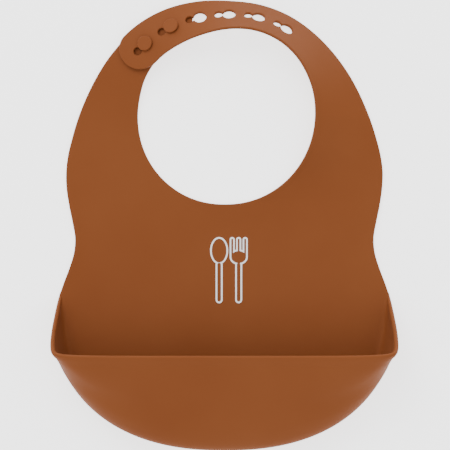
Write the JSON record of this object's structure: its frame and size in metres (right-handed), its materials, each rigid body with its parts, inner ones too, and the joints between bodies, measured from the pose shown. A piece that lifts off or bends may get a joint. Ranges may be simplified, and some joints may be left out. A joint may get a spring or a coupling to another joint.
{
  "type": "silicone baby bib",
  "caption": "Soft moulded feeding bib with a scoop-shaped catch pocket, a round neck opening, and a keyhole strap that buttons over moulded studs.",
  "frame": {"origin": "middle of the bib's outline, on the surface that its back lies on", "axes": "+Z out of the front face, +Y towards the neck, +X towards the keyhole strap's shoulder"},
  "size_m": [0.231, 0.2984, 0.0422],
  "materials": {
    "silicone": "matte moulded silicone, terracotta brown",
    "white_ink": "thin printed ink"
  },
  "bodies": {
    "lower_bib": {"lower_panel": "silicone", "pocket_wall": "silicone", "pocket_rim": "silicone", "printed_spoon": "white_ink", "printed_fork": "white_ink"},
    "chest": {"chest_panel": "silicone"},
    "left_strap": {"stud_strap": "silicone", "tip_stud": "silicone", "second_stud": "silicone"},
    "right_strap": {"right_shoulder": "silicone"},
    "strap_end": {"keyhole_strap": "silicone"}
  },
  "joints": [
    {"name": "chest_fold", "type": "hinge", "parent": "lower_bib", "child": "chest", "pos_m": [0, 0, 0.002], "axis": [1, 0, 0], "range_deg": [0, 90], "stiffness_Nm_per_rad": 0.02},
    {"name": "left_strap_bend", "type": "hinge", "parent": "chest", "child": "left_strap", "pos_m": [-0.077, 0.045, 0], "axis": [1, 0, 0], "range_deg": [-60, 0], "stiffness_Nm_per_rad": 0.15, "deforming": ["tip_stud", "second_stud"]},
    {"name": "right_strap_bend", "type": "hinge", "parent": "chest", "child": "right_strap", "pos_m": [0.077, 0.045, 0.002], "axis": [1, 0, 0], "range_deg": [0, 65], "stiffness_Nm_per_rad": 0.02},
    {"name": "strap_peel", "type": "hinge", "parent": "right_strap", "child": "strap_end", "pos_m": [0.05178, 0.12218, 0.01208], "axis": [0.4498, 0.4498, -0.7716], "range_deg": [0, 75], "stiffness_Nm_per_rad": 0.01}
  ]
}
